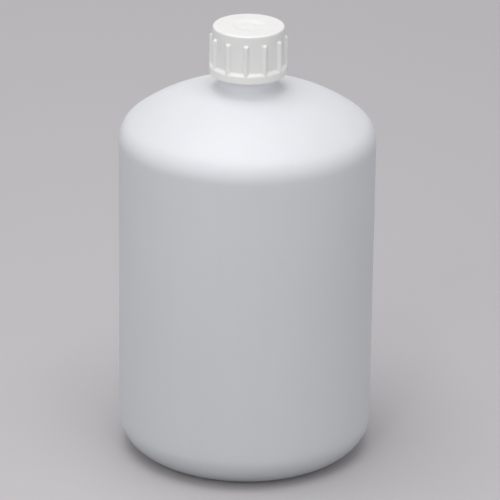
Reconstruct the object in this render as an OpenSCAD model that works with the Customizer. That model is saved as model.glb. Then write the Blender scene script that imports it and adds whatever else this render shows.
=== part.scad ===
// Large cylindrical plastic reagent bottle with a domed shoulder and a ribbed screw cap.
// Millimetres, Z up, origin at the centre of the standing plane.

/* [Body] */
// Outside diameter of the body
body_d = 220; // [190:1:240]
// Height at which the straight side wall ends
side_top = 282; // [150:1:400]
// Wall thickness of the body
wall = 2.4; // [1.5:0.1:4]
// Radius of the rounded bottom edge
base_round = 30; // [12:1:40]
// Width of the ring that the bottle stands on
foot_w = 8; // [4:0.5:20]
// Height of the hollow in the middle of the base
push_up = 6; // [3:0.5:12]

/* [Shoulder] */
// Radius of the turn from the side wall into the shoulder
shoulder_round = 23; // [14:0.5:32]
// Angle turned before the dome begins
shoulder_turn = 53; // [48:0.5:60]
// Radius of the dome
dome_r = 145.5; // [130:0.5:170]

/* [Neck] */
// Outside diameter of the neck
neck_d = 50; // [48:0.5:60]
// Wall thickness of the neck
neck_wall = 3; // [2:0.1:5]
// Height of the rim above the dome
neck_h = 49; // [46:0.5:70]
// Radius of the fillet between dome and neck
neck_round = 8; // [4:0.5:11]
// Rounding of the rim's edges
rim_round = 0.8; // [0.3:0.1:1.2]

/* [Stopper] */
// Thickness of the flange
flange_t = 2; // [1.2:0.1:4]
// Depth of the plug below the rim
plug_depth = 22; // [12:0.5:34]
// Wall thickness of the plug
plug_wall = 1.6; // [1:0.1:3]
// Gap between the plug and the mouth
plug_gap = 0.15; // [0.05:0.05:0.4]
// Draw-in of the plug's tip
plug_taper = 0.8; // [0.2:0.1:1.5]
// Height over which the tip draws in
plug_taper_h = 3; // [1:0.5:6]
// Width of the pull bar
bar_w = 6; // [4:0.5:10]
// Thickness of the pull bar
bar_t = 3; // [2:0.5:6]

/* [Liner] */
// Thickness of the disc
liner_t = 1.5; // [0.8:0.1:3]
// Gap between the disc and the cap's wall, and under it
liner_gap = 0.3; // [0.2:0.05:0.6]

/* [Cap] */
// Room for the screw thread between neck and cap
thread_room = 2.75; // [2:0.05:4]
// Height of the cap
cap_h = 42; // [32:0.5:46]
// Thickness of the cap's top
cap_top_t = 3.5; // [2.6:0.1:5]
// Thickness of the cap's wall
cap_wall = 2.8; // [1.6:0.1:3.5]
// Rounding of the cap's top edge
cap_round = 1.7; // [0.8:0.1:2.4]
// Diameter of the recess in the top
dish_d = 28.5; // [22:0.5:40]
// Depth of the recess
dish_depth = 1.4; // [0.8:0.1:2]
// Width of the recess's sloping side
dish_slope = 5.5; // [0.6:0.1:6]
// Diameter of the low disc in the recess
gate_d = 9.5; // [4:0.5:10]
// Height of the low disc
gate_h = 0.5; // [0.2:0.1:0.7]
// Height of the bead that keeps the liner in
bead_h = 1.1; // [0.6:0.1:2]
// How far the bead stands out of the wall
bead_proud = 0.9; // [0.5:0.1:1.4]

/* [Grip] */
// Number of ribs
rib_count = 12; // [8:1:18]
// How far the ribs and the bottom ring stand out
rib_proud = 2.7; // [2:0.1:4]
// Width of a rib at its nose
rib_w = 3.6; // [2.4:0.1:5]
// Width added to a rib where it meets the wall
rib_draft = 1.2; // [0.4:0.1:2.4]
// Drop from the cap's top to the ribs
rib_drop = 8.2; // [6:0.1:14]
// Rounding of the ribs' upper ends
rib_round = 2.2; // [1.2:0.1:3]
// Turn of the first rib away from the side
rib_phase = -3.6; // [-15:0.1:15]
// Height of the bottom ring
ring_h = 10.4; // [7:0.2:16]
// Height over which the ring slopes out from the wall
ring_slope = 4.2; // [1:0.1:5]
// Rounding of the ring's lower edge
ring_foot_round = 1.2; // [0.6:0.1:1.6]

/* [Hidden] */

// Greatest distance between a curve and its chords
arc_tol = 0.02;
// How far the flanks of a rib end inside its round nose
rib_tuck = 0.2;
// How far the rounding of the ribs' ends starts outside their noses
rib_lip = 0.3;
// Sides of a full circle
$fn = 96;

// Body and shoulder
body_r = body_d / 2;
base_x = body_r - base_round;
foot_r = base_x - foot_w;
push_r = (pow(foot_r, 2) + pow(push_up, 2)) / (2 * push_up);
push_z = push_up - push_r;
shoulder_x = body_r - shoulder_round;
dome_x = shoulder_x - (dome_r - shoulder_round) * cos(shoulder_turn);
dome_z = side_top - (dome_r - shoulder_round) * sin(shoulder_turn);

// Neck
neck_r = neck_d / 2;
bore_r = neck_r - neck_wall;
rim_edge = min(rim_round, neck_wall / 3);
rim_z = dome_z + sqrt(pow(dome_r, 2) - pow(neck_r - dome_x, 2)) + neck_h;

// Closure, stacked on the rim
plug_r = bore_r - plug_gap;
cup_r = plug_r - plug_wall;
plug_foot = rim_z - plug_depth;
flange_top = rim_z + flange_t;
ceiling_z = flange_top + liner_t;
cap_top = ceiling_z + cap_top_t;
cap_foot = cap_top - cap_h;

// Cap and liner
cap_bore_r = neck_r + thread_room;
cap_r = cap_bore_r + cap_wall;
liner_r = cap_bore_r - liner_gap;
bead_top = flange_top - liner_gap;
dish_r = dish_d / 2;
dish_z = cap_top - dish_depth;
gate_r = gate_d / 2;

// Grip
ring_r = cap_r + rib_proud;
ring_top = cap_foot + ring_h;
ring_bore_r = ring_r - cap_wall;
ring_bore_top = ring_top - cap_wall;
rib_top = cap_top - rib_drop;
rib_foot = ring_top - ring_slope;
rib_root = cap_r - cap_wall / 2;
rib_nose = rib_w / 2;
rib_nose_x = ring_r - rib_nose;

// Points along an arc from angle a0 to a1; skip drops that many points at the start
function arc(x, z, r, a0, a1, skip = 0) =
    let (step = 2 * acos(1 - arc_tol / max(r, 3 * arc_tol)))
    let (n = max(2, ceil(abs(a1 - a0) / step)))
    [for (i = [skip:n]) let (a = a0 + (a1 - a0) * i / n) [x + r * cos(a), z + r * sin(a)]];

// The same points, last one first
function reversed(points) = [for (i = [len(points) - 1:-1:0]) points[i]];

// Height of the centre of the fillet that blends a dome of radius r into a tube of radius tube_r
function fillet_z(r, tube_r, fillet) =
    dome_z + sqrt(pow(r + fillet, 2) - pow(tube_r + fillet - dome_x, 2));

// Half outline of the bottle from the centre of its base up to the end of the neck fillet.
// inset is the depth below the outer surface, tube_r the neck's radius and fillet its blend.
function bottle_line(inset, tube_r, fillet) =
    let (push_end = asin((inset - push_z) / (push_r + inset)))
    let (blend_z = fillet_z(dome_r - inset, tube_r, fillet))
    let (blend_end = atan2(blend_z - dome_z, tube_r + fillet - dome_x))
    concat(
        arc(0, push_z, push_r + inset, 90, push_end),
        arc(base_x, base_round, base_round - inset, -90, 0),
        arc(shoulder_x, side_top, shoulder_round - inset, 0, shoulder_turn),
        arc(dome_x, dome_z, dome_r - inset, shoulder_turn, blend_end, 1),
        arc(tube_r + fillet, blend_z, fillet, blend_end + 180, 180, 1));

// Blow-moulded shell, open at the mouth
module bottle() {
    outside = bottle_line(0, neck_r, neck_round);
    inside = bottle_line(wall, bore_r, neck_round + neck_wall);
    rim = concat(
        arc(neck_r - rim_edge, rim_z - rim_edge, rim_edge, 0, 90),
        arc(bore_r + rim_edge, rim_z - rim_edge, rim_edge, 90, 180));
    color("#eef0f2") rotate_extrude() polygon(concat(outside, rim, reversed(inside)));
}

// Hollow plug with a flange on the rim and a bar to pull it out by
module stopper() {
    color("#f4f4f0") {
        rotate_extrude() polygon([
            [0, plug_foot],
            [plug_r - plug_taper, plug_foot],
            [plug_r, plug_foot + plug_taper_h],
            [plug_r, rim_z],
            [neck_r, rim_z],
            [neck_r, flange_top],
            [cup_r, flange_top],
            [cup_r, plug_foot + plug_taper_h],
            [cup_r - plug_taper, plug_foot + plug_wall],
            [0, plug_foot + plug_wall]]);
        intersection() {
            translate([-bore_r, -bar_w / 2, flange_top - bar_t]) cube([2 * bore_r, bar_w, bar_t]);
            cylinder(r = cup_r + plug_wall / 2, h = flange_top);
        }
    }
}

// Foamed disc between the stopper and the cap
module liner() {
    color("#f6f6f6") translate([0, 0, flange_top]) cylinder(r = liner_r, h = liner_t);
}

// Cross-section of one rib, pointing along X
module rib_section() {
    polygon([
        [rib_root, -rib_nose - rib_draft / 2],
        [rib_nose_x, rib_tuck - rib_nose],
        [rib_nose_x, rib_nose - rib_tuck],
        [rib_root, rib_nose + rib_draft / 2]]);
    translate([rib_nose_x, 0]) circle(rib_nose);
}

// All the ribs, with rounded upper ends, standing in the bottom ring
module ribs() {
    reach = ring_r + rib_lip;
    intersection() {
        translate([0, 0, rib_foot]) linear_extrude(rib_top - rib_foot)
            for (i = [0:rib_count - 1]) rotate(rib_phase + i * 360 / rib_count) rib_section();
        rotate_extrude() polygon(concat(
            [[0, cap_foot], [reach, cap_foot]],
            arc(reach - rib_round, rib_top - rib_round, rib_round, 0, 90),
            [[0, rib_top]]));
    }
}

// Screw cap with a dished top, grip ribs and a plain ring at its lower edge
module cap() {
    top = concat(
        [[0, dish_z + gate_h], [gate_r, dish_z + gate_h], [gate_r + gate_h, dish_z]],
        [[dish_r - dish_slope, dish_z], [dish_r, cap_top]],
        arc(cap_r - cap_round, cap_top - cap_round, cap_round, 90, 0));
    ring = concat(
        [[cap_r, ring_top], [ring_r, ring_top - ring_slope]],
        arc(ring_r - ring_foot_round, cap_foot + ring_foot_round, ring_foot_round, 0, -90));
    inside = [
        [ring_bore_r, cap_foot],
        [ring_bore_r, ring_bore_top - rib_proud],
        [cap_bore_r, ring_bore_top],
        [cap_bore_r, bead_top - bead_h],
        [cap_bore_r - bead_proud, bead_top - bead_h / 2],
        [cap_bore_r, bead_top],
        [cap_bore_r, ceiling_z],
        [0, ceiling_z]];
    color("#e4e5e6") {
        rotate_extrude() polygon(concat(top, ring, inside));
        ribs();
    }
}

bottle();
stopper();
liner();
cap();
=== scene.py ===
"""Looks of the plastic reagent bottle: a matt blow-moulded shell and its ribbed screw cap.

Metres, Z up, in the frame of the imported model, with the viewer of the photograph towards -Y.
"""

from math import asin, atan2, ceil, cos, exp, hypot, pi, radians, sin, sqrt, tan

import bmesh
import bpy
from mathutils import Matrix, Vector


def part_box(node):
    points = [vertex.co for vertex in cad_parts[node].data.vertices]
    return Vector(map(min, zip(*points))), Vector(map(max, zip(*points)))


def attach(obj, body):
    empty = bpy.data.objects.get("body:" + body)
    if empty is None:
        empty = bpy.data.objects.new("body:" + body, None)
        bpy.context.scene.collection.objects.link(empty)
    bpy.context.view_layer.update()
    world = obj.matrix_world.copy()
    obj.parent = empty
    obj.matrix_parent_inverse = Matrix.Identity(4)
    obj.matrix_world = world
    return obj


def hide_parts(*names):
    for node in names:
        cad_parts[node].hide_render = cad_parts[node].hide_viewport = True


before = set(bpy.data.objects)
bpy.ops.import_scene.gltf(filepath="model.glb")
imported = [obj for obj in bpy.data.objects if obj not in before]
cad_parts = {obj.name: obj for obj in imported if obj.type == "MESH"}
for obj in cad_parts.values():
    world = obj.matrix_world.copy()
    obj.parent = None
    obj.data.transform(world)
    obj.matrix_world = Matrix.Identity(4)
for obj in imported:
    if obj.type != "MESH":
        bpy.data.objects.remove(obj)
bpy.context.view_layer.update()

MM = 0.001

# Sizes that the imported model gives
BODY_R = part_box("bottle")[1].x
RIM_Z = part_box("bottle")[1].z
PLUG_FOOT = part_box("stopper")[0].z
FLANGE_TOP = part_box("stopper")[1].z
NECK_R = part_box("stopper")[1].x
LINER_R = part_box("liner")[1].x
CEILING_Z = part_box("liner")[1].z
CAP_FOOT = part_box("cap")[0].z
CAP_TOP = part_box("cap")[1].z
RING_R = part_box("cap")[1].x

# Curves: largest turn and longest edge of a step along an arc, edge along a line, steps of a rounding
ARC_STEP = radians(15)
ARC_EDGE = 3 * MM
LINE_EDGE = 6 * MM
ROUND_STEPS = 5

# Turned pieces: points nearer than this are on the axis, and columns of a plain one
ON_AXIS = 1e-7
ROUND_COLUMNS = 144

# Weight of large faces in the shading of a piece with flats
FLAT_WEIGHT = 80

# Bottle
WALL = 2.4 * MM
BASE_ROUND = 30 * MM
FOOT_W = 8 * MM
PUSH_UP = 6 * MM
SIDE_TOP = 282 * MM
SHOULDER_ROUND = 23 * MM
SHOULDER_TURN = radians(53)
DOME_R = 145.5 * MM
NECK_WALL = 3 * MM
NECK_ROUND = 8 * MM
RIM_ROUND = 0.8 * MM
SHELL_COLUMNS = 240

# Worked out: the hollow of the base, the shoulder, the dome and the mouth
BASE_X = BODY_R - BASE_ROUND
FOOT_R = BASE_X - FOOT_W
PUSH_R = (FOOT_R ** 2 + PUSH_UP ** 2) / (2 * PUSH_UP)
PUSH_Z = PUSH_UP - PUSH_R
SHOULDER_X = BODY_R - SHOULDER_ROUND
SHOULDER_Z = SIDE_TOP + SHOULDER_ROUND * sin(SHOULDER_TURN)
DOME_X = SHOULDER_X - (DOME_R - SHOULDER_ROUND) * cos(SHOULDER_TURN)
DOME_Z = SIDE_TOP - (DOME_R - SHOULDER_ROUND) * sin(SHOULDER_TURN)
BORE_R = NECK_R - NECK_WALL

# Parting line of the mould, at two opposite sides, with the columns across it in millimetres.
# Nearer to the axis than the least radius, these columns draw together.
SEAM_ANGLE = radians(-14)
SEAM_HIGH = 0.16 * MM
SEAM_WIDE = 0.4 * MM
SEAM_COLUMNS = (-1.0, -0.6, -0.4, -0.2, 0.0, 0.2, 0.4, 0.6, 1.0)
SEAM_LEAST_R = 42 * MM

# Weld across the hollow of the base. The least width and height, at its ends, are shares.
WELD_LONG = 104 * MM
WELD_WIDE = 2.4 * MM
WELD_HIGH = 0.9 * MM
WELD_SINK = 0.4 * MM
WELD_LEAST_W = 0.1
WELD_LEAST_H = 0.05
WELD_END_POWER = 6
WELD_STEPS = 40
WELD_SIDES = 12

# Unevenness of the blown wall: waves by their number round it, radians per metre up it, and start
WAVE_DEPTH = 0.22 * MM
WAVE_LOW = BASE_ROUND / 4
WAVES = ((2, 14, 0.7), (5, -23, 2.1))

# Screw thread. The least height, at its ends, is a share.
PITCH = 6 * MM
THREAD_STEPS = 72
THREAD_SIDES = 10
THREAD_SINK = 0.4 * MM
THREAD_RUN_OUT = radians(50)
THREAD_LEAST = 0.04
THREAD_CREST_POWER = 3.2
THREAD_FLANK_POWER = 0.6
NECK_THREAD_H = 1.9 * MM
NECK_THREAD_W = 2.6 * MM
NECK_THREAD_LOW = 360.5 * MM
NECK_THREAD_TURNS = 2.25
CAP_THREAD_H = 2.1 * MM
CAP_THREAD_W = 2.3 * MM
CAP_THREAD_LOW = 357.5 * MM
CAP_THREAD_TURNS = 2.0

# Stopper
PLUG_WALL = 1.6 * MM
PLUG_GAP = 0.15 * MM
PLUG_TAPER = 0.8 * MM
PLUG_TAPER_H = 3 * MM
PLUG_TIP_ROUND = 0.5 * MM
PLUG_TAPER_ROUND = 1.5 * MM
CUP_FLOOR_ROUND = 0.8 * MM
FLANGE_ROUND = 0.6 * MM
FLANGE_FOOT_ROUND = 0.4 * MM
PLUG_R = BORE_R - PLUG_GAP
CUP_R = PLUG_R - PLUG_WALL

# Pull bar of the stopper, with ends sunk into the cup's wall and a waist narrower by a share
BAR_W = 6 * MM
BAR_T = 3 * MM
BAR_ROUND = 0.9 * MM
BAR_DROP = 0.15 * MM
BAR_SINK = 0.4 * PLUG_WALL
BAR_WAIST = 0.16
BAR_STEPS = 16

# Liner, with a shallow groove pressed into its underside, just inside the stopper's flange
LINER_ROUND = 0.35 * MM
PRESS_IN = 1.2 * MM
PRESS_R = BORE_R - PLUG_WALL - PRESS_IN
PRESS_W = 1.6 * MM
PRESS_DEEP = 0.15 * MM
PRESS_ROUND = 0.3 * MM
PRESS_LIP_ROUND = 0.2 * MM

# Cap
THREAD_ROOM = 2.75 * MM
CAP_WALL = 2.8 * MM
CAP_ROUND = 1.7 * MM
CAP_TOP_STEPS = 6
DISH_R = 14.25 * MM
DISH_DEEP = 1.4 * MM
DISH_SLOPE = 5.5 * MM
DISH_ROUND = 4 * MM
DISH_FOOT_ROUND = 10 * MM
GATE_R = 4.75 * MM
GATE_H = 0.5 * MM
GATE_SLOPE = 1.5 * MM
GATE_ROUND = 1.2 * MM
BEAD_H = 1.1 * MM
BEAD_PROUD = 0.9 * MM
BEAD_ROUND = 0.3 * MM
LINER_GAP = 0.3 * MM
RING_H = 10.4 * MM
RING_SLOPE_H = 4.2 * MM
RING_FOOT_ROUND = 1.2 * MM
BORE_FOOT_ROUND = 0.5 * MM
BORE_STEP_ROUND = 0.6 * MM
CAP_BORE_R = NECK_R + THREAD_ROOM
CAP_R = CAP_BORE_R + CAP_WALL
RING_TOP = CAP_FOOT + RING_H

# Grip ribs, and the heights just above them where the top's outline ends and the ribbed rows begin
RIB_COUNT = 12
RIB_FOOT_W = 6.6 * MM
RIB_NOSE_POWER = 2.0
RIB_FOOT_POWER = 1.5
RIB_DROP = 8.2 * MM
RIB_ROUND = 2.2 * MM
RIB_PHASE = radians(-3.6)
RIB_FILLET = 0.5 * MM
RIB_TOP = CAP_TOP - RIB_DROP
TOP_END = RIB_TOP + 2 * MM
ROWS_START = RIB_TOP + 1 * MM

# Columns across half a rib and half the wall beside it, and rows down the ribs and the ring
RIB_STEPS = 12
WALL_STEPS = 3
RIB_END_ROWS = 20
RIB_ROWS = 6
SLOPE_ROWS = 20
RING_ROWS = 4

# Middle part of a noise texture's values
NOISE_LOW = 0.3
NOISE_HIGH = 0.7

# How far red, green and blue light travels in the plastics, as shares
MILKY_RADIUS = (1.0, 0.95, 0.85)

# Bottle's plastic: colours, sizes of its features and roughness
HDPE_DARK = (0.777, 0.795, 0.83, 1)
HDPE_LIGHT = (0.797, 0.812, 0.842, 1)
HDPE_STREAK = (0.762, 0.78, 0.815, 1)
HDPE_STREAK_SHARE = 0.35
HDPE_CLOUD_SIZE = 110 * MM
HDPE_STREAK_SIZE = 14 * MM
HDPE_PATCH_SIZE = 35 * MM
HDPE_RUB_SIZE = 30 * MM
HDPE_GRAIN_SIZE = 0.9 * MM
HDPE_ROUGHNESS = (0.40, 0.50)
RUB_ROUGHNESS = 0.1

# Scuffs that the bottle gets from what it stands on, fading out with height
SCUFF_COLOUR = (0.62, 0.6, 0.57, 1)
SCUFF_SHARE = 0.3
SCUFF_SIZE = 2.5 * MM
SCUFF_TOP = 1.6 * MM
SCUFF_LOW = 0.3 * MM

# Specks of dark resin in the shoulder: place and radius, with a dark core that is a share of it
SPECK_COLOUR = (0.34, 0.36, 0.38, 1)
SPECK_SHARE = 0.12
SPECK_CORE = 0.4
SPECKS = (
    (Vector((-0.0855, -0.0493, 0.3020)), 0.8 * MM),
    (Vector((-0.0689, -0.0625, 0.3059)), 1.0 * MM),
)

# Cap's plastic, polished by hands where it stands out furthest
PP_DARK = (0.875, 0.873, 0.866, 1)
PP_LIGHT = (0.90, 0.896, 0.886, 1)
PP_FLOW = (0.85, 0.847, 0.832, 1)
PP_FLOW_SHARE = 0.3
PP_CLOUD_SIZE = 20 * MM
PP_FLOW_SIZE = 4 * MM
PP_PATCH_SIZE = 8 * MM
PP_GRAIN_SIZE = 0.9 * MM
PP_ROUGHNESS = 0.34
PP_WORN_ROUGHNESS = 0.24
PP_WORN_DEEP = 0.9 * MM
PP_PATCHES = (0.9, 1.15)

# Stopper's plastic
LDPE_DARK = (0.83, 0.83, 0.80, 1)
LDPE_LIGHT = (0.87, 0.87, 0.85, 1)
LDPE_CLOUD_SIZE = 15 * MM
LDPE_PATCH_SIZE = 6 * MM
LDPE_GRAIN_SIZE = 1.2 * MM
LDPE_ROUGHNESS = (0.34, 0.46)

# Liner's foam
FOAM_CELL = (0.90, 0.90, 0.90, 1)
FOAM_EDGE = (0.84, 0.84, 0.84, 1)
FOAM_CELL_SIZE = 0.9 * MM
FOAM_ROUGHNESS = (0.55, 0.7)

# Camera, fitted to the photograph
CAMERA_ELEVATION = radians(22.446)
CAMERA_DISTANCE = 3.4263
CAMERA_AIM_Z = 0.1798
CAMERA_ROLL = radians(0.662)
CAMERA_FAR = 60
FOCAL_PIXELS = 3968.8
IMAGE_PIXELS = 500
AXIS_PIXEL = 246.15
SENSOR_MM = 36

# Floor, as it is seen and as it throws light back
FLOOR_SEEN = (0.57, 0.553, 0.57, 1)
FLOOR_BOUNCE = (0.19, 0.187, 0.193, 1)
FLOOR_ROUGHNESS = 0.9
FLOOR_R = 14
FLOOR_SIDES = 96

# Lamps: place, sides and power in watts. All face one point.
SOFTBOX = (Vector((-0.15, -0.2, 2.3)), (2.2, 1.4), 24)
KEY = (Vector((-0.5, -1.5, 2.6)), (0.3, 0.3), 3.0)
FILL = (Vector((-0.75, -1.45, 1.0)), (1.2, 1.2), 5.0)
LOW_FILL = (Vector((1.8, -2.7, 0.85)), (1.4, 0.8), 7)
BACK_FILL = (Vector((0, 3.2, 1.0)), (2.0, 0.9), 14)
LIT_POINT = Vector((0, 0, 0.2))

# Surround
SKY_HORIZON = (0.85, 0.85, 0.85, 1)
SKY_TOP = (0.25, 0.25, 0.25, 1)
SKY_SEEN = (0.44, 0.428, 0.44, 1)


# Outlines

def arc(x, z, r, start, end):
    """Points along an arc, both ends included."""
    step = min(ARC_STEP, ARC_EDGE / r)
    count = max(2, ceil(abs(end - start) / step))
    angles = [start + (end - start) * i / count for i in range(count + 1)]
    return [(x + r * cos(a), z + r * sin(a)) for a in angles]


def line(start, end):
    """Points between two ends, neither included."""
    count = max(1, round(hypot(end[0] - start[0], end[1] - start[1]) / LINE_EDGE))
    shares = [i / count for i in range(1, count)]
    return [tuple(a + (b - a) * s for a, b in zip(start, end)) for s in shares]


def rounded(corners, steps=ROUND_STEPS):
    """An open outline from corners (r, z, rounding)."""
    points = []
    for i, (x, z, rounding) in enumerate(corners):
        if not rounding:
            points.append((x, z))
            continue
        at = Vector((x, z))
        before = (Vector(corners[i - 1][:2]) - at).normalized()
        after = (Vector(corners[i + 1][:2]) - at).normalized()
        half = before.angle(after) / 2
        middle = at + (before + after).normalized() * (rounding / sin(half))
        first = at + before * (rounding / tan(half)) - middle
        turn = pi - 2 * half
        if before.x * after.y > before.y * after.x:
            turn = -turn
        for s in range(steps + 1):
            a = turn * s / steps
            points.append((
                middle.x + first.x * cos(a) - first.y * sin(a),
                middle.y + first.x * sin(a) + first.y * cos(a),
            ))
    return points


def levels(high, low, count):
    """Heights from high down towards low, without low itself."""
    return [high + (low - high) * i / count for i in range(count)]


def smooth_max(a, b, blend):
    """The larger of two heights, with a fillet where they meet."""
    near = max(blend - abs(a - b), 0) / blend
    return max(a, b) + near * near * blend / 4


def quarter_round(share):
    """The outline of a quarter ellipse: 1 up to 0, falling to 0 at 1."""
    return sqrt(1 - min(max(share, 0.0), 1.0) ** 2)


# Meshes

def new_piece(name, mesh, material, body):
    """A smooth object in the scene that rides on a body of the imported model."""
    bmesh.ops.recalc_face_normals(mesh, faces=mesh.faces)
    for face in mesh.faces:
        face.smooth = True
    data = bpy.data.meshes.new(name)
    mesh.to_mesh(data)
    mesh.free()
    data.materials.append(material)
    piece = bpy.data.objects.new(name, data)
    bpy.context.scene.collection.objects.link(piece)
    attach(piece, body)
    return piece


def keep_flats(piece):
    """Shades the flat faces flat, right up to their rounded edges."""
    weighted = piece.modifiers.new("flat faces", "WEIGHTED_NORMAL")
    weighted.keep_sharp = True
    weighted.weight = FLAT_WEIGHT


def even_columns(count):
    """Angles at even steps round the axis."""
    return [2 * pi * i / count for i in range(count)]


def lathe(outline, columns, place=None):
    """A closed mesh from an outline that starts and ends on the axis.

    columns are angles. place(row, column), if given, moves a point to its own (r, z, angle).
    """
    mesh = bmesh.new()
    rings = []
    for row, (r, z) in enumerate(outline):
        if r < ON_AXIS:
            rings.append([mesh.verts.new((0, 0, z))])
            continue
        ring = []
        for column, angle in enumerate(columns):
            at = place(row, column) if place else (r, z, angle)
            ring.append(mesh.verts.new((at[0] * cos(at[2]), at[0] * sin(at[2]), at[1])))
        rings.append(ring)
    count = len(columns)
    for low, high in zip(rings, rings[1:]):
        for i in range(count):
            j = (i + 1) % count
            if len(low) == 1:
                mesh.faces.new((low[0], high[j], high[i]))
            elif len(high) == 1:
                mesh.faces.new((low[i], low[j], high[0]))
            else:
                mesh.faces.new((low[i], low[j], high[j], high[i]))
    return mesh


def loft(sections):
    """A closed mesh through sections, each a ring of the same number of points."""
    mesh = bmesh.new()
    rings = [[mesh.verts.new(point) for point in section] for section in sections]
    count = len(rings[0])
    for low, high in zip(rings, rings[1:]):
        for i in range(count):
            j = (i + 1) % count
            mesh.faces.new((low[i], low[j], high[j], high[i]))
    mesh.faces.new(reversed(rings[0]))
    mesh.faces.new(rings[-1])
    return mesh


# Material nodes

def new_material(name):
    """A node material. Returns it with its tree and its shader."""
    material = bpy.data.materials.new(name)
    material.use_nodes = True
    tree = material.node_tree
    return material, tree, tree.nodes["Principled BSDF"]


def add(tree, kind, inputs=None, **settings):
    """A node whose inputs are values, or sockets to link from."""
    node = tree.nodes.new(kind)
    for key, value in settings.items():
        setattr(node, key, value)
    for key, value in (inputs or {}).items():
        if isinstance(value, bpy.types.NodeSocket):
            tree.links.new(value, node.inputs[key])
        else:
            node.inputs[key].default_value = value
    return node


def object_coords(tree):
    """Places on the piece, in metres."""
    return add(tree, "ShaderNodeTexCoord").outputs["Object"]


def stretched(tree, coords, z_scale):
    """The same places with heights times z_scale."""
    inputs = {"Vector": coords, "Scale": (1, 1, z_scale)}
    return add(tree, "ShaderNodeMapping", inputs).outputs["Vector"]


def height_of(tree, coords):
    """The Z of a place or direction."""
    return add(tree, "ShaderNodeSeparateXYZ", {0: coords}).outputs["Z"]


def noise(tree, coords, feature, detail=2.0, rough=0.5):
    """Noise with features of about this size in metres, from 0 to 1."""
    inputs = {"Vector": coords, "Scale": 1 / feature, "Detail": detail, "Roughness": rough}
    return add(tree, "ShaderNodeTexNoise", inputs).outputs["Fac"]


def spread(tree, value, low, high, to_low=0.0, to_high=1.0):
    """value carried from low..high to to_low..to_high, and held there."""
    inputs = {"Value": value, "From Min": low, "From Max": high, "To Min": to_low, "To Max": to_high}
    return add(tree, "ShaderNodeMapRange", inputs).outputs["Result"]


def varied(tree, coords, feature, to_low=0.0, to_high=1.0):
    """Slow variation between two values, with features of about this size in metres."""
    value = noise(tree, coords, feature, detail=3.0)
    return spread(tree, value, NOISE_LOW, NOISE_HIGH, to_low, to_high)


def compute(tree, operation, a, b):
    """A sum, product or the like of two values."""
    return add(tree, "ShaderNodeMath", {0: a, 1: b}, operation=operation).outputs[0]


def blend_colours(tree, share, first, second):
    """A mix of two colours, which are inputs 6 and 7 of the node, and its output 2."""
    inputs = {0: share, 6: first, 7: second}
    return add(tree, "ShaderNodeMix", inputs, data_type="RGBA").outputs[2]


def bumped(tree, shader, height, strength, deep):
    """Fine relief on the surface, this deep in metres."""
    bump = add(tree, "ShaderNodeBump", {"Strength": strength, "Distance": deep, "Height": height})
    tree.links.new(bump.outputs["Normal"], shader.inputs["Normal"])


def milky(shader, weight, depth):
    """Light that enters the plastic and leaves it nearby."""
    shader.inputs["Subsurface Weight"].default_value = weight
    shader.inputs["Subsurface Radius"].default_value = MILKY_RADIUS
    shader.inputs["Subsurface Scale"].default_value = depth


# Materials

def bottle_plastic():
    """Natural high-density polyethylene from a sand-blasted mould, streaked, rubbed and scuffed."""
    material, tree, shader = new_material("hdpe_natural")
    coords = object_coords(tree)
    colour = blend_colours(tree, varied(tree, coords, HDPE_CLOUD_SIZE), HDPE_DARK, HDPE_LIGHT)
    streak = noise(tree, stretched(tree, coords, z_scale=0.05), HDPE_STREAK_SIZE)
    streaked = spread(tree, streak, low=0.45, high=0.8, to_high=HDPE_STREAK_SHARE)
    colour = blend_colours(tree, streaked, colour, HDPE_STREAK)
    stood_on = spread(tree, height_of(tree, coords), SCUFF_TOP, SCUFF_LOW)
    marks = noise(tree, coords, SCUFF_SIZE, detail=5.0, rough=0.65)
    scuff = compute(tree, "MULTIPLY", stood_on, spread(tree, marks, low=0.42, high=0.62))
    colour = blend_colours(tree, compute(tree, "MULTIPLY", scuff, SCUFF_SHARE), colour, SCUFF_COLOUR)
    for place, r in SPECKS:
        away = add(tree, "ShaderNodeVectorMath", {0: coords, 1: place}, operation="DISTANCE")
        dot = spread(tree, away.outputs["Value"], low=r, high=SPECK_CORE * r, to_high=SPECK_SHARE)
        colour = blend_colours(tree, dot, colour, SPECK_COLOUR)
    tree.links.new(colour, shader.inputs["Base Color"])
    rub = noise(tree, stretched(tree, coords, z_scale=12), HDPE_RUB_SIZE, detail=6.0, rough=0.7)
    rubbed = compute(tree, "MULTIPLY", spread(tree, rub, low=0.56, high=0.7), RUB_ROUGHNESS)
    patches = varied(tree, coords, HDPE_PATCH_SIZE, *HDPE_ROUGHNESS)
    tree.links.new(compute(tree, "ADD", rubbed, patches), shader.inputs["Roughness"])
    grain = noise(tree, coords, HDPE_GRAIN_SIZE, detail=3.0, rough=0.6)
    bumped(tree, shader, grain, strength=0.5, deep=0.25 * MM)
    shader.inputs["IOR"].default_value = 1.54
    milky(shader, weight=0.35, depth=2 * MM)
    return material


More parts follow.
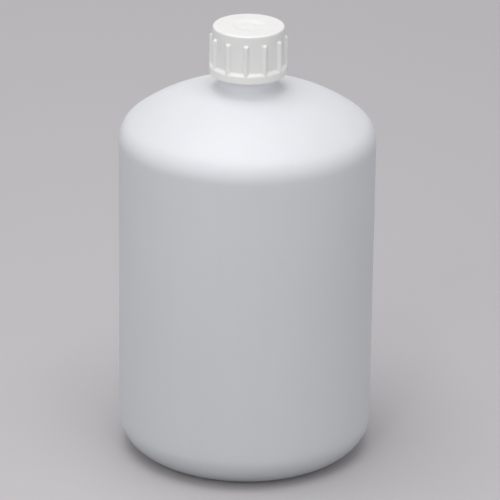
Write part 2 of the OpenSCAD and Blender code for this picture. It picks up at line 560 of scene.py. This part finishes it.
def cap_plastic():
    """Injection-moulded polypropylene, glossier, polished by hands on the noses of the ribs."""
    material, tree, shader = new_material("pp_white")
    coords = object_coords(tree)
    colour = blend_colours(tree, varied(tree, coords, PP_CLOUD_SIZE), PP_DARK, PP_LIGHT)
    flow = noise(tree, stretched(tree, coords, z_scale=0.15), PP_FLOW_SIZE, detail=3.0)
    flowed = spread(tree, flow, low=0.4, high=0.75, to_high=PP_FLOW_SHARE)
    colour = blend_colours(tree, flowed, colour, PP_FLOW)
    tree.links.new(colour, shader.inputs["Base Color"])
    across = add(tree, "ShaderNodeVectorMath", {0: coords, 1: (1, 1, 0)}, operation="MULTIPLY")
    reach = add(tree, "ShaderNodeVectorMath", {0: across.outputs[0]}, operation="LENGTH")
    worn = spread(
        tree, reach.outputs["Value"], RING_R - PP_WORN_DEEP, RING_R, PP_ROUGHNESS, PP_WORN_ROUGHNESS
    )
    patches = varied(tree, coords, PP_PATCH_SIZE, *PP_PATCHES)
    tree.links.new(compute(tree, "MULTIPLY", worn, patches), shader.inputs["Roughness"])
    grain = noise(tree, coords, PP_GRAIN_SIZE, detail=3.0, rough=0.6)
    bumped(tree, shader, grain, strength=0.15, deep=0.1 * MM)
    shader.inputs["IOR"].default_value = 1.5
    milky(shader, weight=0.5, depth=1.5 * MM)
    return material


def stopper_plastic():
    """Soft low-density polyethylene, waxy."""
    material, tree, shader = new_material("ldpe_natural")
    coords = object_coords(tree)
    colour = blend_colours(tree, varied(tree, coords, LDPE_CLOUD_SIZE), LDPE_DARK, LDPE_LIGHT)
    tree.links.new(colour, shader.inputs["Base Color"])
    roughness = varied(tree, coords, LDPE_PATCH_SIZE, *LDPE_ROUGHNESS)
    tree.links.new(roughness, shader.inputs["Roughness"])
    bumped(tree, shader, noise(tree, coords, LDPE_GRAIN_SIZE), strength=0.1, deep=0.1 * MM)
    shader.inputs["IOR"].default_value = 1.51
    milky(shader, weight=0.4, depth=3 * MM)
    return material


def liner_foam():
    """Foamed polyethylene with a skin of fine cells."""
    material, tree, shader = new_material("pe_foam")
    inputs = {"Vector": object_coords(tree), "Scale": 1 / FOAM_CELL_SIZE}
    cells = add(tree, "ShaderNodeTexVoronoi", inputs).outputs["Distance"]
    colour = blend_colours(tree, spread(tree, cells, low=0.1, high=0.7), FOAM_CELL, FOAM_EDGE)
    tree.links.new(colour, shader.inputs["Base Color"])
    roughness = spread(tree, cells, 0.0, 0.7, *FOAM_ROUGHNESS)
    tree.links.new(roughness, shader.inputs["Roughness"])
    bumped(tree, shader, cells, strength=0.3, deep=0.15 * MM)
    shader.inputs["IOR"].default_value = 1.45
    return material


# Bottle

def bottle_line(inset, tube_r, fillet):
    """Half outline from the middle of the base to the end of the neck fillet.

    inset is the depth below the outer surface, tube_r the neck's radius and fillet its blend.
    """
    push_end = asin((inset - PUSH_Z) / (PUSH_R + inset))
    dome = DOME_R - inset
    blend_x = tube_r + fillet
    blend_z = DOME_Z + sqrt((dome + fillet) ** 2 - (blend_x - DOME_X) ** 2)
    blend_end = atan2(blend_z - DOME_Z, blend_x - DOME_X)
    hollow = arc(0, PUSH_Z, PUSH_R + inset, pi / 2, push_end)
    edge = arc(BASE_X, BASE_ROUND, BASE_ROUND - inset, -pi / 2, 0)
    turn = arc(SHOULDER_X, SIDE_TOP, SHOULDER_ROUND - inset, 0, SHOULDER_TURN)
    top = arc(DOME_X, DOME_Z, dome, SHOULDER_TURN, blend_end)
    neck = arc(blend_x, blend_z, fillet, blend_end + pi, pi)
    base = hollow + line(hollow[-1], edge[0]) + edge
    return base + line(edge[-1], turn[0]) + turn + top[1:] + neck[1:]


def bottle_columns():
    """(angle, distance beside a parting line or None) around the bottle."""
    columns = []
    for i in range(SHELL_COLUMNS):
        angle = SEAM_ANGLE + 2 * pi * i / SHELL_COLUMNS
        if i % (SHELL_COLUMNS // 2):
            columns.append((angle, None))
        else:
            columns += [(angle, beside * MM) for beside in SEAM_COLUMNS]
    return columns


def wave(z, angle):
    """How far the uneven wall stands in at a place, up to WAVE_DEPTH."""
    side = sin(pi * min(z / SHOULDER_Z, 1.0)) ** 2
    ripples = [sin(count * angle + rise * z + start) for count, rise, start in WAVES]
    return WAVE_DEPTH * side * (0.5 + sum(ripples) / len(WAVES) / 2)


def make_bottle(plastic):
    """The shell, with its parting line and a slightly uneven side."""
    outside = bottle_line(0, NECK_R, NECK_ROUND)
    inside = bottle_line(WALL, BORE_R, NECK_ROUND + NECK_WALL)
    rim = rounded([
        (*outside[-1], 0),
        (NECK_R, RIM_Z, RIM_ROUND),
        (BORE_R, RIM_Z, RIM_ROUND),
        (*inside[-1], 0),
    ])
    neck = line(rim[0], rim[1])
    mouth = line(rim[-2], rim[-1])
    skin = outside + neck
    outline = skin + rim[1:-1] + mouth + inside[::-1]
    columns = bottle_columns()

    def place(row, column):
        r, z = outline[row]
        angle, beside = columns[column]
        out = 0.0
        if 0 < row < len(skin) - 1 and z > WAVE_LOW:
            out = -wave(z, angle)
            if beside is not None:
                out += SEAM_HIGH * exp(-((beside / SEAM_WIDE) ** 2))
        along = (Vector(outline[row + 1]) - Vector(outline[row - 1])).normalized()
        if beside is not None:
            angle += beside / max(r, SEAM_LEAST_R)
        return r + along.y * out, z - along.x * out, angle

    mesh = lathe(outline, [angle for angle, _ in columns], place)
    shell = new_piece("bottle_shell", mesh, plastic, "bottle")
    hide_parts("bottle")


def make_base_weld(plastic):
    """The ridge that the closing mould leaves across the hollow of the base."""
    angles = [pi * j / WELD_SIDES for j in range(WELD_SIDES + 1)]
    sections = []
    for i in range(WELD_STEPS + 1):
        share = 2 * i / WELD_STEPS - 1
        along = share * WELD_LONG / 2
        sunk = PUSH_Z + sqrt(PUSH_R ** 2 - along ** 2) + WELD_SINK
        full = quarter_round(abs(share) ** WELD_END_POWER)
        wide = WELD_WIDE / 2 * max(full, WELD_LEAST_W)
        deep = WELD_HIGH * max(full, WELD_LEAST_H) + WELD_SINK
        sections.append([(along, wide * cos(a), sunk - deep * sin(a)) for a in angles])
    mesh = loft(sections)
    bmesh.ops.rotate(mesh, verts=mesh.verts, matrix=Matrix.Rotation(SEAM_ANGLE, 3, "Z"))
    weld = new_piece("base_weld", mesh, plastic, "bottle")


def make_thread(name, material, body, wall_r, height, width, low, turns):
    """A right-handed thread on a wall, standing out by height, or inwards if height is negative."""
    sink = THREAD_SINK if height > 0 else -THREAD_SINK
    sections = []
    for i in range(round(turns * THREAD_STEPS) + 1):
        angle = 2 * pi * i / THREAD_STEPS
        left = min(angle, 2 * pi * turns - angle)
        grown = sin(pi / 2 * min(left / THREAD_RUN_OUT, 1.0)) ** 2
        crest = height * (THREAD_LEAST + (1 - THREAD_LEAST) * grown)
        z = low + PITCH * angle / (2 * pi)
        profile = [(wall_r - sink, -width / 2)]
        for j in range(THREAD_SIDES + 1):
            across = 2 * j / THREAD_SIDES - 1
            proud = (1 - abs(across) ** THREAD_CREST_POWER) ** THREAD_FLANK_POWER
            profile.append((wall_r + crest * proud, across * width / 2))
        profile.append((wall_r - sink, width / 2))
        sections.append([(r * cos(angle), r * sin(angle), z + up) for r, up in profile])
    thread = new_piece(name, loft(sections), material, body)


# Stopper and liner

def make_stopper_plug(plastic):
    """A hollow plug with a flange on the rim."""
    taper_z = PLUG_FOOT + PLUG_TAPER_H
    floor_z = PLUG_FOOT + PLUG_WALL
    outline = rounded([
        (0, PLUG_FOOT, 0),
        (PLUG_R - PLUG_TAPER, PLUG_FOOT, PLUG_TIP_ROUND),
        (PLUG_R, taper_z, PLUG_TAPER_ROUND),
        (PLUG_R, RIM_Z, 0),
        (NECK_R, RIM_Z, FLANGE_FOOT_ROUND),
        (NECK_R, FLANGE_TOP, FLANGE_ROUND),
        (CUP_R, FLANGE_TOP, FLANGE_ROUND),
        (CUP_R, taper_z, PLUG_TAPER_ROUND),
        (CUP_R - PLUG_TAPER, floor_z, CUP_FLOOR_ROUND),
        (0, floor_z, 0),
    ])
    plug = new_piece("stopper_plug", lathe(outline, even_columns(ROUND_COLUMNS)), plastic, "stopper")
    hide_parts("stopper")
    keep_flats(plug)


def bar_section():
    """Points (y, z) round the pull bar, which has rounded corners."""
    y = BAR_W / 2 - BAR_ROUND
    high = FLANGE_TOP - BAR_DROP - BAR_ROUND
    low = FLANGE_TOP - BAR_DROP - BAR_T + BAR_ROUND
    points = []
    for corner, middle in enumerate(((y, high), (-y, high), (-y, low), (y, low))):
        for j in range(ROUND_STEPS + 1):
            a = pi / 2 * (corner + j / ROUND_STEPS)
            points.append((middle[0] + BAR_ROUND * cos(a), middle[1] + BAR_ROUND * sin(a)))
    return points


def make_stopper_bar(plastic):
    """The bar across the plug to pull it out by."""
    reach = CUP_R + BAR_SINK
    sections = []
    for i in range(BAR_STEPS + 1):
        share = 2 * i / BAR_STEPS - 1
        waist = 1 - BAR_WAIST * (1 - share ** 2)
        sections.append([(reach * share, y * waist, z) for y, z in bar_section()])
    bar = new_piece("stopper_bar", loft(sections), plastic, "stopper")
    keep_flats(bar)


def make_liner(foam):
    """The disc in the cap, with a shallow groove in its underside."""
    low, high = (corner.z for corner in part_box("liner"))
    outline = rounded([
        (0, low, 0),
        (PRESS_R - PRESS_W, low, PRESS_LIP_ROUND),
        (PRESS_R - PRESS_W / 2, low + PRESS_DEEP, PRESS_ROUND),
        (PRESS_R, low, PRESS_LIP_ROUND),
        (LINER_R, low, LINER_ROUND),
        (LINER_R, high, LINER_ROUND),
        (0, high, 0),
    ])
    disc = new_piece("liner_disc", lathe(outline, even_columns(ROUND_COLUMNS)), foam, "liner")
    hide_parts("liner")
    keep_flats(disc)


# Cap

def rib_height(beside):
    """Share of a rib's full height at an angle beside its middle: a round nose and hollow feet."""
    share = min(abs(beside) * 2 * RING_R / RIB_FOOT_W, 1.0)
    return (1 - share ** RIB_NOSE_POWER) ** RIB_FOOT_POWER


def rib_columns():
    """(angle, angle beside the nearest rib) around the cap, closest together on the ribs."""
    foot = RIB_FOOT_W / 2 / RING_R
    sector = 2 * pi / RIB_COUNT
    half = [foot * i / RIB_STEPS for i in range(RIB_STEPS)]
    half += [foot + (sector / 2 - foot) * i / WALL_STEPS for i in range(WALL_STEPS)]
    beside = sorted([-a for a in half[1:]] + half + [sector / 2])
    return [(RIB_PHASE + i * sector + a, a) for i in range(RIB_COUNT) for a in beside]


def side_reach(z, beside):
    """Distance from the axis to the outside of the cap's wall, ribs and bottom ring."""
    sunk_r = CAP_R - RIB_FILLET
    down = min(max((RING_TOP - z) / RING_SLOPE_H, 0.0), 1.0)
    ring = sunk_r + (RING_R - sunk_r) * down * down * (3 - 2 * down)
    full = quarter_round((z - RIB_TOP + RIB_ROUND) / RIB_ROUND)
    rib = sunk_r + (RING_R - sunk_r) * rib_height(beside) * full
    reach = smooth_max(smooth_max(CAP_R, rib, RIB_FILLET), ring, RIB_FILLET)
    return min(reach, RING_R)


def cap_top():
    """Outline from the middle of the dished top, over its edge and down to above the ribs."""
    dish_z = CAP_TOP - DISH_DEEP
    disc_z = dish_z + GATE_H
    return rounded([
        (0, disc_z, 0),
        (GATE_R, disc_z, GATE_ROUND),
        (GATE_R + GATE_SLOPE, dish_z, GATE_ROUND),
        (DISH_R - DISH_SLOPE, dish_z, DISH_FOOT_ROUND),
        (DISH_R, CAP_TOP, DISH_ROUND),
        (CAP_R, CAP_TOP, CAP_ROUND),
        (CAP_R, TOP_END, 0),
    ], steps=CAP_TOP_STEPS)


def cap_side():
    """Heights of the rows down the ribs and the ring, closest together where they curve."""
    rib_low = RIB_TOP - RIB_ROUND
    slope_low = RING_TOP - RING_SLOPE_H
    return (
        levels(ROWS_START, rib_low, RIB_END_ROWS)
        + levels(rib_low, RING_TOP, RIB_ROWS)
        + levels(RING_TOP, slope_low, SLOPE_ROWS)
        + levels(slope_low, CAP_FOOT + RING_FOOT_ROUND, RING_ROWS)
    )


def cap_inside():
    """Outline from the ring's lower edge up the stepped bore and its bead to the ceiling."""
    ring_bore_r = RING_R - CAP_WALL
    ring_bore_top = RING_TOP - CAP_WALL
    bead_top = FLANGE_TOP - LINER_GAP
    above_foot = (RING_R, CAP_FOOT + 2 * RING_FOOT_ROUND, 0)
    return rounded([
        above_foot,
        (RING_R, CAP_FOOT, RING_FOOT_ROUND),
        (ring_bore_r, CAP_FOOT, BORE_FOOT_ROUND),
        (ring_bore_r, ring_bore_top - (ring_bore_r - CAP_BORE_R), BORE_STEP_ROUND),
        (CAP_BORE_R, ring_bore_top, BORE_STEP_ROUND),
        (CAP_BORE_R, bead_top - BEAD_H, 0),
        (CAP_BORE_R - BEAD_PROUD, bead_top - BEAD_H / 2, BEAD_ROUND),
        (CAP_BORE_R, bead_top, 0),
        (CAP_BORE_R, CEILING_Z, 0),
        (0, CEILING_Z, 0),
    ])[1:]


def make_cap(plastic):
    """The dished top, the ribbed side, the plain ring at the foot and the bore."""
    top = cap_top()
    side = [(CAP_R, z) for z in cap_side()]
    outline = top + side + cap_inside()
    columns = rib_columns()

    def place(row, column):
        r, z = outline[row]
        angle, beside = columns[column]
        if len(top) <= row < len(top) + len(side):
            r = side_reach(z, beside)
        return r, z, angle

    mesh = lathe(outline, [angle for angle, _ in columns], place)
    shell = new_piece("cap_shell", mesh, plastic, "cap")
    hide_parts("cap")
    keep_flats(shell)


# Stage

def make_camera():
    """The camera at the photograph's viewing angle."""
    camera = bpy.data.objects.new("camera", bpy.data.cameras.new("camera"))
    bpy.context.scene.collection.objects.link(camera)
    bpy.context.scene.camera = camera
    camera.data.sensor_width = SENSOR_MM
    camera.data.lens = SENSOR_MM * FOCAL_PIXELS / IMAGE_PIXELS
    camera.data.shift_x = (IMAGE_PIXELS / 2 - AXIS_PIXEL) / IMAGE_PIXELS
    camera.data.clip_end = CAMERA_FAR
    aim = Vector((0, 0, CAMERA_AIM_Z))
    away = Vector((0, -cos(CAMERA_ELEVATION), sin(CAMERA_ELEVATION)))
    turn = Matrix.Rotation(pi / 2 - CAMERA_ELEVATION, 4, "X") @ Matrix.Rotation(CAMERA_ROLL, 4, "Z")
    camera.matrix_world = Matrix.Translation(aim + CAMERA_DISTANCE * away) @ turn


def seen_directly(tree):
    """1 for rays from the camera, a mirror or glass, and 0 for light on its way."""
    path = add(tree, "ShaderNodeLightPath").outputs
    share = path["Is Camera Ray"]
    for kind in ("Is Glossy Ray", "Is Transmission Ray"):
        share = compute(tree, "MAXIMUM", share, path[kind])
    return share


def make_floor():
    """A plain pale floor that throws little light back at the bottle."""
    mesh = bmesh.new()
    bmesh.ops.create_circle(mesh, cap_ends=True, segments=FLOOR_SIDES, radius=FLOOR_R)
    data = bpy.data.meshes.new("floor")
    mesh.to_mesh(data)
    mesh.free()
    material, tree, shader = new_material("floor")
    colour = blend_colours(tree, seen_directly(tree), FLOOR_BOUNCE, FLOOR_SEEN)
    tree.links.new(colour, shader.inputs["Base Color"])
    shader.inputs["Roughness"].default_value = FLOOR_ROUGHNESS
    shader.inputs["Specular IOR Level"].default_value = 0.0
    data.materials.append(material)
    floor = bpy.data.objects.new("floor", data)
    bpy.context.scene.collection.objects.link(floor)


def make_lamp(name, place, sides, power):
    """A rectangular lamp that faces the bottle."""
    light = bpy.data.lights.new(name, "AREA")
    light.shape = "RECTANGLE"
    light.size, light.size_y = sides
    light.energy = power
    lamp = bpy.data.objects.new(name, light)
    lamp.location = place
    lamp.rotation_euler = (LIT_POINT - place).to_track_quat("-Z", "Y").to_euler()
    bpy.context.scene.collection.objects.link(lamp)
    return lamp


def make_light():
    """A wide softbox overhead, a small key and fills that don't show in the gloss."""
    make_lamp("softbox", *SOFTBOX)
    make_lamp("key", *KEY)
    for name, fill in (("fill", FILL), ("low_fill", LOW_FILL), ("back_fill", BACK_FILL)):
        make_lamp(name, *fill).visible_glossy = False


def make_surround():
    """Light from all round, brightest at the horizon, and a plain backdrop where it is seen."""
    world = bpy.data.worlds.new("surround")
    bpy.context.scene.world = world
    world.use_nodes = True
    tree = world.node_tree
    direction = add(tree, "ShaderNodeTexCoord").outputs["Generated"]
    up = spread(tree, height_of(tree, direction), low=0.0, high=1.0)
    sky = blend_colours(tree, up, SKY_HORIZON, SKY_TOP)
    colour = blend_colours(tree, seen_directly(tree), sky, SKY_SEEN)
    tree.links.new(colour, tree.nodes["Background"].inputs["Color"])


bpy.context.scene.view_settings.view_transform = "Standard"
make_camera()
make_floor()
make_light()
make_surround()
hdpe = bottle_plastic()
polypropylene = cap_plastic()
ldpe = stopper_plastic()
make_bottle(hdpe)
make_base_weld(hdpe)
make_thread(
    "neck_thread", hdpe, "bottle",
    NECK_R, NECK_THREAD_H, NECK_THREAD_W, NECK_THREAD_LOW, NECK_THREAD_TURNS,
)
make_stopper_plug(ldpe)
make_stopper_bar(ldpe)
make_liner(liner_foam())
make_cap(polypropylene)
make_thread(
    "cap_thread", polypropylene, "cap",
    CAP_BORE_R, -CAP_THREAD_H, CAP_THREAD_W, CAP_THREAD_LOW, CAP_THREAD_TURNS,
)
